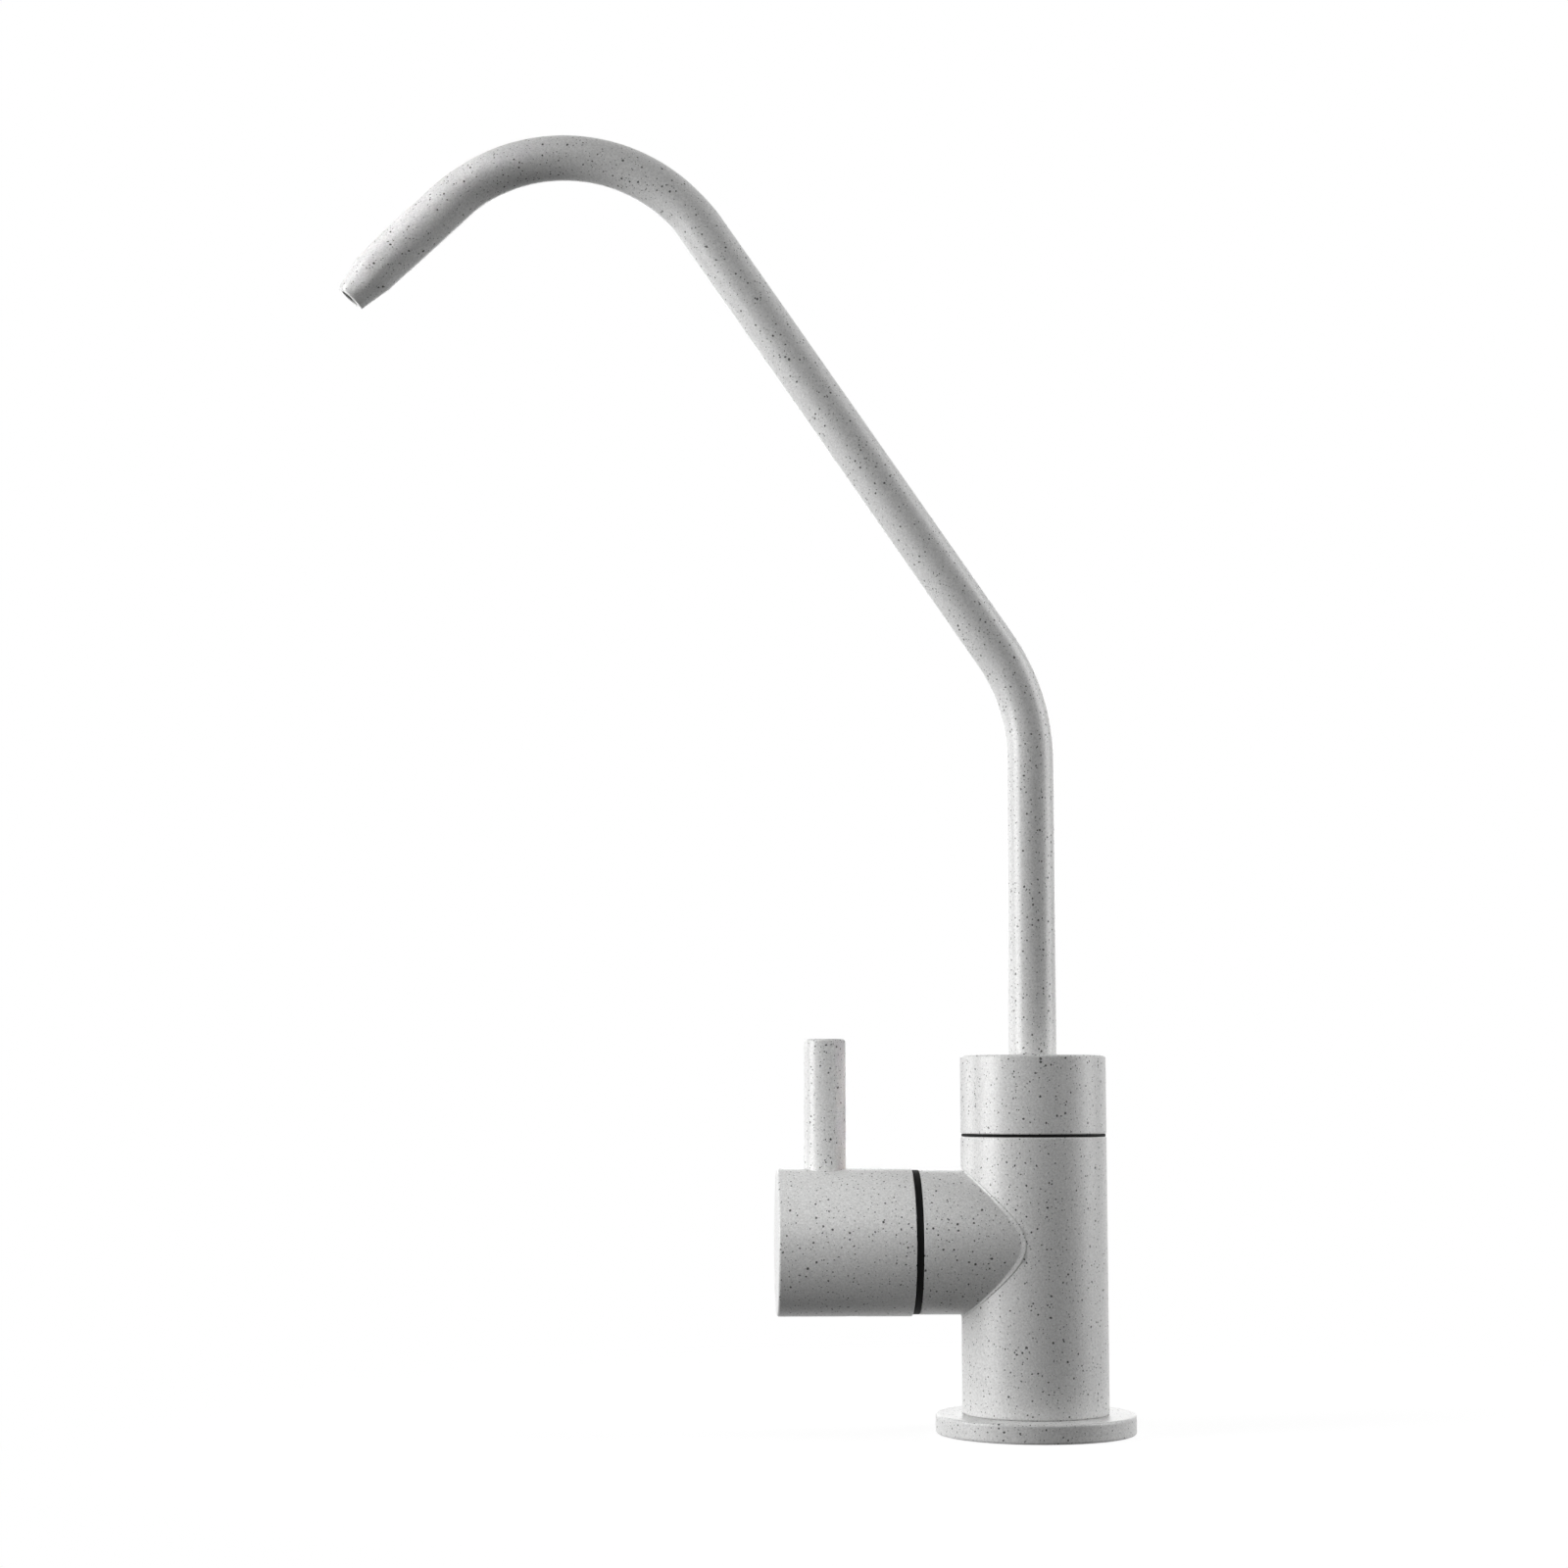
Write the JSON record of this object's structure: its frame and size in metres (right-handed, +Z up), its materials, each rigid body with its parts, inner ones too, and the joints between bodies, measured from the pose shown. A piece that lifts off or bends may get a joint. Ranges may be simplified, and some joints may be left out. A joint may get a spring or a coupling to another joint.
{
  "type": "drinking water filter tap",
  "caption": "Deck-mounted drinking water tap with a bent swivel spout, a side quarter-turn lever handle and a round base flange, in speckled pale grey.",
  "frame": {"origin": "on the deck's upper face, on the axis of the body", "axes": "+Z up along the body, -X towards the handle and, at rest, the spout, +Y to the back"},
  "size_m": [0.1771, 0.0436, 0.3374],
  "materials": {
    "speckled_coat": "matte pale grey powder coat with dark specks",
    "black_polymer": "matte black",
    "brass": "machined",
    "steel": "plain stainless",
    "rubber": "matte black",
    "silicone": "matte red-brown",
    "ceramic": "lapped white alumina"
  },
  "bodies": {
    "base": {"base_flange": "speckled_coat", "base_gasket": "rubber", "tap_body": "speckled_coat", "threaded_shank": "brass", "deck_rubber_washer": "rubber", "deck_steel_washer": "steel", "lock_washer": "steel", "mounting_nut": "brass", "cartridge_housing": "brass", "cartridge_o_ring": "rubber", "seat_seal": "silicone", "fixed_disc": "ceramic", "valve_spacer_ring": "black_polymer", "spout_glide_washer": "black_polymer", "spout_retaining_screw": "steel"},
    "handle": {"handle_hub": "speckled_coat", "handle_lever": "speckled_coat", "hub_grub_screw": "steel", "valve_spindle": "brass", "spindle_o_rings": "rubber", "spindle_circlip": "steel", "moving_disc": "ceramic"},
    "spout": {"spout_tube": "speckled_coat", "spout_collar": "speckled_coat", "spout_spigot": "brass", "spout_o_rings": "rubber", "collar_grub_screw": "steel"}
  },
  "joints": [
    {"name": "handle_turn", "type": "hinge", "parent": "base", "child": "handle", "pos_m": [-0.0418, 0, 0.0411], "axis": [1, 0, 0], "range_deg": [0, 90]},
    {"name": "spout_swivel", "type": "hinge", "parent": "base", "child": "spout", "pos_m": [0, 0, 0.0646], "axis": [0, 0, 1], "continuous": true}
  ]
}
